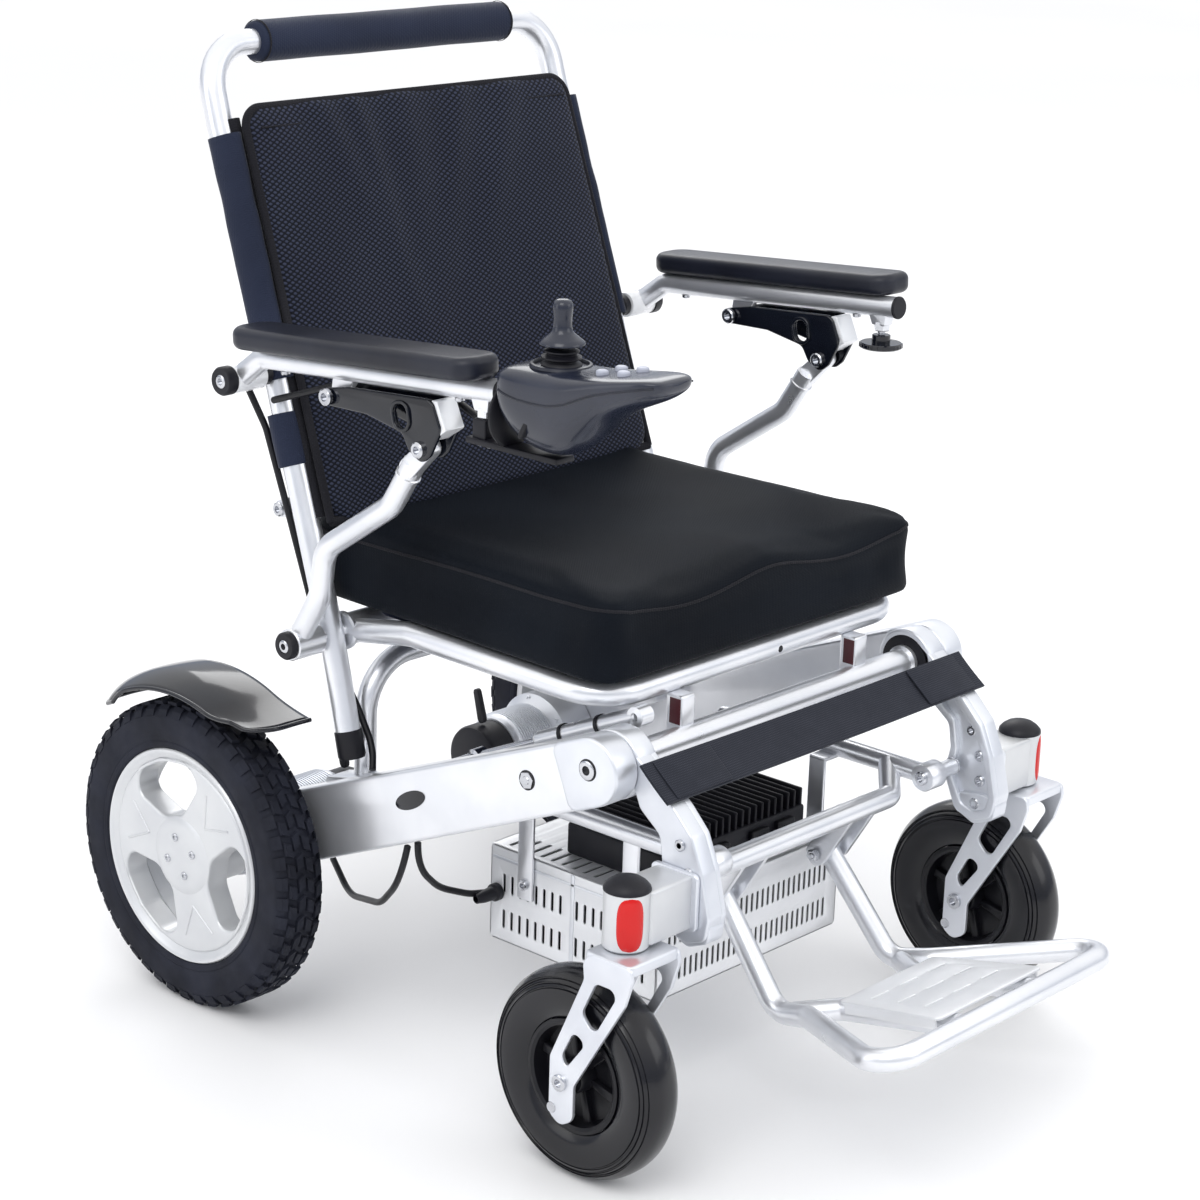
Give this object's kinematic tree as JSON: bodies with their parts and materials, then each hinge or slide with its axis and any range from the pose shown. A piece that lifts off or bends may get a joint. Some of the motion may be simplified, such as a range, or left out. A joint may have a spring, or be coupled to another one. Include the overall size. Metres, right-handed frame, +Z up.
{
  "type": "folding power wheelchair",
  "caption": "Folding electric wheelchair with joystick, cushioned seat, reclined mesh back, flip-up arms, driven rear wheels, swivel casters and a flip-up footrest.",
  "frame": {"origin": "on the floor, in the middle of the length and width", "axes": "+Z up, the chair faces -Y, the user's left is +X"},
  "size_m": [0.676, 0.9431, 0.971],
  "materials": {
    "tube_silver": "satin painted aluminium tube",
    "cast_silver": "smooth painted casting",
    "sheet_silver": "satin perforated sheet",
    "rim_white": "satin off-white paint",
    "tyre_black": "block tread rubber",
    "caster_black": "glossy solid rubber",
    "hub_black": "moulded plastic",
    "gloss_black": "polished moulded plastic",
    "soft_black": "moulded polyurethane skin",
    "seat_fabric": "smooth knitted cover",
    "mesh_fabric": "diamond spacer mesh",
    "sleeve_fabric": "smooth navy cover cloth",
    "webbing": "woven strap",
    "joystick_slate": "fine-textured slate plastic",
    "cable_black": "cable sheath"
  },
  "bodies": {
    "rear_frame": {"beam_right": "cast_silver", "beam_left": "cast_silver", "rear_arch": "tube_silver", "seat_frame": "tube_silver", "front_cross_tube": "tube_silver", "cushion": "seat_fabric", "gas_spring": "tube_silver", "motor_right": "cast_silver", "motor_left": "cast_silver", "fender_right": "gloss_black", "fender_left": "gloss_black", "motor_cable_right": "cable_black", "motor_cable_left": "cable_black", "battery_cable": "cable_black"},
    "backrest": {"back_frame": "tube_silver", "upholstery": "mesh_fabric", "handle_pad": "sleeve_fabric", "joystick_cable_back": "cable_black"},
    "rear_wheel_right": {"rear_tyre_right": "tyre_black", "rear_rim_right": "rim_white"},
    "brake_release_right": {"brake_lever_right": "hub_black"},
    "arm_hanger_right": {"arm_pivot_right": "hub_black"},
    "arm_right": {"arm_tube_right": "tube_silver", "arm_pad_right": "soft_black", "joystick_bracket": "hub_black", "joystick_housing": "joystick_slate", "joystick_cable_arm": "cable_black"},
    "lever_right": {"arm_lever_right": "gloss_black"},
    "link_right": {"arm_link_right": "tube_silver"},
    "rear_wheel_left": {"rear_tyre_left": "tyre_black", "rear_rim_left": "rim_white"},
    "brake_release_left": {"brake_lever_left": "hub_black"},
    "arm_hanger_left": {"arm_pivot_left": "hub_black"},
    "arm_left": {"arm_tube_left": "tube_silver", "arm_pad_left": "soft_black"},
    "lever_left": {"arm_lever_left": "gloss_black"},
    "link_left": {"arm_link_left": "tube_silver"},
    "front_frame": {"front_bracket_right": "cast_silver", "front_bracket_left": "cast_silver", "stem_housing_right": "cast_silver", "stem_housing_left": "cast_silver", "calf_strap": "webbing"},
    "caster_swivel_right": {"caster_fork_right": "cast_silver"},
    "caster_wheel_right": {"caster_tyre_right": "caster_black", "caster_hub_right": "hub_black"},
    "caster_swivel_left": {"caster_fork_left": "cast_silver"},
    "caster_wheel_left": {"caster_tyre_left": "caster_black", "caster_hub_left": "hub_black"},
    "lower_frame": {"subframe": "tube_silver", "battery_box": "sheet_silver", "controller": "hub_black"},
    "footrest": {"footrest_frame": "tube_silver", "foot_plate": "tube_silver"},
    "joystick_gimbal": {"joystick_boot": "hub_black"},
    "joystick": {"joystick_stick": "joystick_slate"},
    "power_key": {"key_power": "joystick_slate"},
    "horn_key": {"key_horn": "joystick_slate"},
    "slower_key": {"key_slower": "joystick_slate"},
    "faster_key": {"key_faster": "joystick_slate"},
    "knob": {"arm_knob": "hub_black"}
  },
  "joints": [
    {"name": "backrest_fold", "type": "hinge", "parent": "rear_frame", "child": "backrest", "pos_m": [0, 0.183, 0.406], "axis": [1, 0, 0], "range_deg": [0, 60], "deforming": ["cushion", "joystick_cable_back"]},
    {"name": "rear_wheel_spin_right", "type": "hinge", "parent": "rear_frame", "child": "rear_wheel_right", "pos_m": [-0.3, 0.313, 0.15875], "axis": [1, 0, 0], "continuous": true},
    {"name": "brake_release_turn_right", "type": "hinge", "parent": "rear_frame", "child": "brake_release_right", "pos_m": [-0.103, 0.313, 0.20175], "axis": [1, 0, 0], "range_deg": [-35, 0]},
    {"name": "arm_level_right", "type": "hinge", "parent": "backrest", "child": "arm_hanger_right", "pos_m": [-0.287, 0.265, 0.651], "axis": [1, 0, 0], "range_deg": [-60, 0]},
    {"name": "arm_flip_right", "type": "hinge", "parent": "arm_hanger_right", "child": "arm_right", "pos_m": [-0.287, 0.265, 0.651], "axis": [1, 0, 0], "range_deg": [-90, 0]},
    {"name": "arm_lever_turn_right", "type": "hinge", "parent": "arm_right", "child": "lever_right", "pos_m": [-0.287, 0.125, 0.6605], "axis": [1, 0, 0], "range_deg": [0, 96]},
    {"name": "arm_link_turn_right", "type": "hinge", "parent": "rear_frame", "child": "link_right", "pos_m": [-0.285, 0.183, 0.406], "axis": [1, 0, 0], "range_deg": [0, 34.2]},
    {"name": "rear_wheel_spin_left", "type": "hinge", "parent": "rear_frame", "child": "rear_wheel_left", "pos_m": [0.3, 0.313, 0.15875], "axis": [1, 0, 0], "continuous": true},
    {"name": "brake_release_turn_left", "type": "hinge", "parent": "rear_frame", "child": "brake_release_left", "pos_m": [0.103, 0.313, 0.20175], "axis": [1, 0, 0], "range_deg": [-35, 0]},
    {"name": "arm_level_left", "type": "hinge", "parent": "backrest", "child": "arm_hanger_left", "pos_m": [0.287, 0.265, 0.651], "axis": [1, 0, 0], "range_deg": [-60, 0]},
    {"name": "arm_flip_left", "type": "hinge", "parent": "arm_hanger_left", "child": "arm_left", "pos_m": [0.287, 0.265, 0.651], "axis": [1, 0, 0], "range_deg": [-90, 0]},
    {"name": "arm_lever_turn_left", "type": "hinge", "parent": "arm_left", "child": "lever_left", "pos_m": [0.287, 0.125, 0.6605], "axis": [1, 0, 0], "range_deg": [0, 96]},
    {"name": "arm_link_turn_left", "type": "hinge", "parent": "rear_frame", "child": "link_left", "pos_m": [0.285, 0.183, 0.406], "axis": [1, 0, 0], "range_deg": [0, 34.2]},
    {"name": "front_fold", "type": "hinge", "parent": "rear_frame", "child": "front_frame", "pos_m": [0, -0.175, 0.365], "axis": [1, 0, 0], "range_deg": [0, 60], "deforming": ["battery_cable"]},
    {"name": "caster_swivel_turn_right", "type": "hinge", "parent": "front_frame", "child": "caster_swivel_right", "pos_m": [-0.299, -0.257, 0.2355], "axis": [0, 0, 1], "continuous": true},
    {"name": "caster_wheel_spin_right", "type": "hinge", "parent": "caster_swivel_right", "child": "caster_wheel_right", "pos_m": [-0.299, -0.215, 0.1], "axis": [1, 0, 0], "continuous": true},
    {"name": "caster_swivel_turn_left", "type": "hinge", "parent": "front_frame", "child": "caster_swivel_left", "pos_m": [0.299, -0.257, 0.2355], "axis": [0, 0, 1], "continuous": true},
    {"name": "caster_wheel_spin_left", "type": "hinge", "parent": "caster_swivel_left", "child": "caster_wheel_left", "pos_m": [0.299, -0.215, 0.1], "axis": [1, 0, 0], "continuous": true},
    {"name": "lower_frame_level", "type": "hinge", "parent": "front_frame", "child": "lower_frame", "pos_m": [0, -0.243, 0.272], "axis": [1, 0, 0], "range_deg": [-60, 0]},
    {"name": "footrest_flip", "type": "hinge", "parent": "lower_frame", "child": "footrest", "pos_m": [0, -0.186, 0.2], "axis": [1, 0, 0], "range_deg": [-80, 0]},
    {"name": "joystick_fore_aft", "type": "hinge", "parent": "arm_right", "child": "joystick_gimbal", "pos_m": [-0.287, -0.151, 0.735], "axis": [1, 0, 0], "range_deg": [-15, 15], "stiffness_Nm_per_rad": 0.3},
    {"name": "joystick_sideways", "type": "hinge", "parent": "joystick_gimbal", "child": "joystick", "pos_m": [-0.287, -0.151, 0.735], "axis": [0, 1, 0], "range_deg": [-15, 15], "stiffness_Nm_per_rad": 0.3},
    {"name": "press_power", "type": "slide", "parent": "arm_right", "child": "power_key", "axis": [0, 0, -1], "range_m": [0, 0.0014], "stiffness_N_per_m": 300},
    {"name": "press_horn", "type": "slide", "parent": "arm_right", "child": "horn_key", "axis": [0, 0, -1], "range_m": [0, 0.0014], "stiffness_N_per_m": 300},
    {"name": "press_slower", "type": "slide", "parent": "arm_right", "child": "slower_key", "axis": [0, 0, -1], "range_m": [0, 0.0014], "stiffness_N_per_m": 300},
    {"name": "press_faster", "type": "slide", "parent": "arm_right", "child": "faster_key", "axis": [0, 0, -1], "range_m": [0, 0.0014], "stiffness_N_per_m": 300},
    {"name": "knob_turn", "type": "hinge", "parent": "arm_left", "child": "knob", "pos_m": [0.287, -0.0626, 0.652], "axis": [0, 0, 1], "continuous": true}
  ],
  "couplings": [
    {"joint": "arm_level_right", "follows": "backrest_fold", "ratio": -1},
    {"joint": "arm_lever_turn_right", "follows": "backrest_fold", "ratio": 1.6},
    {"joint": "arm_link_turn_right", "follows": "backrest_fold", "ratio": 0.57},
    {"joint": "arm_level_left", "follows": "backrest_fold", "ratio": -1},
    {"joint": "arm_lever_turn_left", "follows": "backrest_fold", "ratio": 1.6},
    {"joint": "arm_link_turn_left", "follows": "backrest_fold", "ratio": 0.57},
    {"joint": "front_fold", "follows": "backrest_fold", "ratio": 1},
    {"joint": "lower_frame_level", "follows": "backrest_fold", "ratio": -1}
  ]
}
